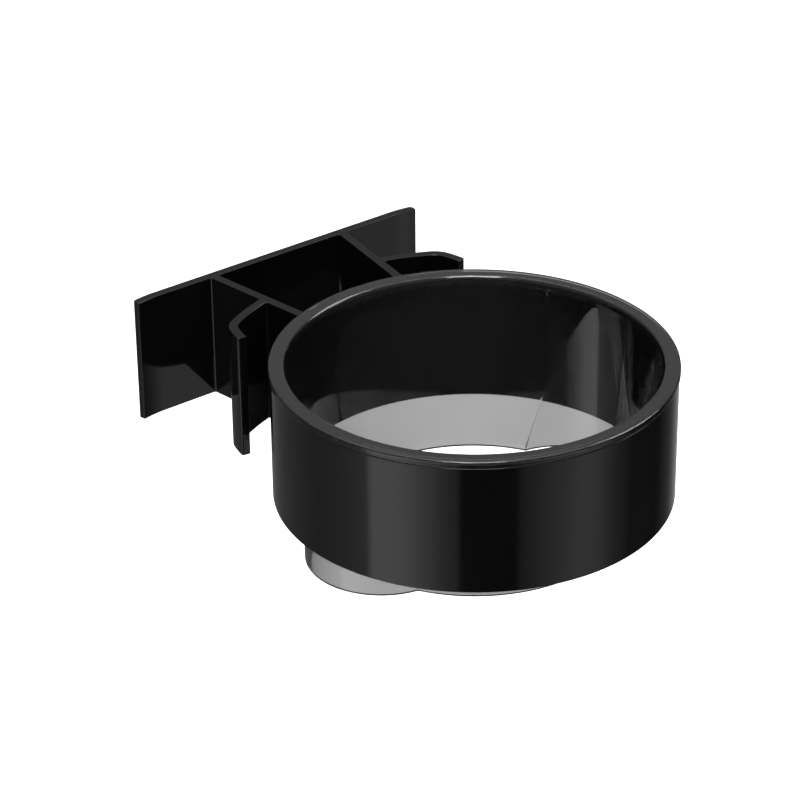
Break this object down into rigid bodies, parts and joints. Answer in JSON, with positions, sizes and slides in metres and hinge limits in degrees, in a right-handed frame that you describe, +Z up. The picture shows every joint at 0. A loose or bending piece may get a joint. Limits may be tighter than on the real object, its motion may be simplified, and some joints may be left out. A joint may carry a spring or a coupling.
{
  "type": "hair dryer holder",
  "caption": "Wall-mounted hair dryer holder: a ring band on two ribs with hooks for the plug's cord, a wall plate with an adhesive pad, and a clear lift-out funnel liner.",
  "frame": {"origin": "centre of the adhesive pad's wall side, where the holder meets the wall", "axes": "+Y into the wall, +Z up, +X to the right as seen from the front; the ring band is towards -Y"},
  "size_m": [0.1006, 0.1344, 0.0446],
  "materials": {
    "black_coating": "gloss black coating on an aluminium extrusion, with satin cut ends",
    "clear_plastic": "clear, slightly grey, polished polycarbonate",
    "foam_tape": "matt closed-cell foam"
  },
  "bodies": {
    "holder": {"holder_profile": "black_coating", "adhesive_pad": "foam_tape"},
    "liner": {"cup_liner": "clear_plastic"}
  },
  "joints": [
    {"name": "liner_lift", "type": "slide", "parent": "holder", "child": "liner", "axis": [0, 0, 1], "range_m": [0, 0.05]}
  ]
}
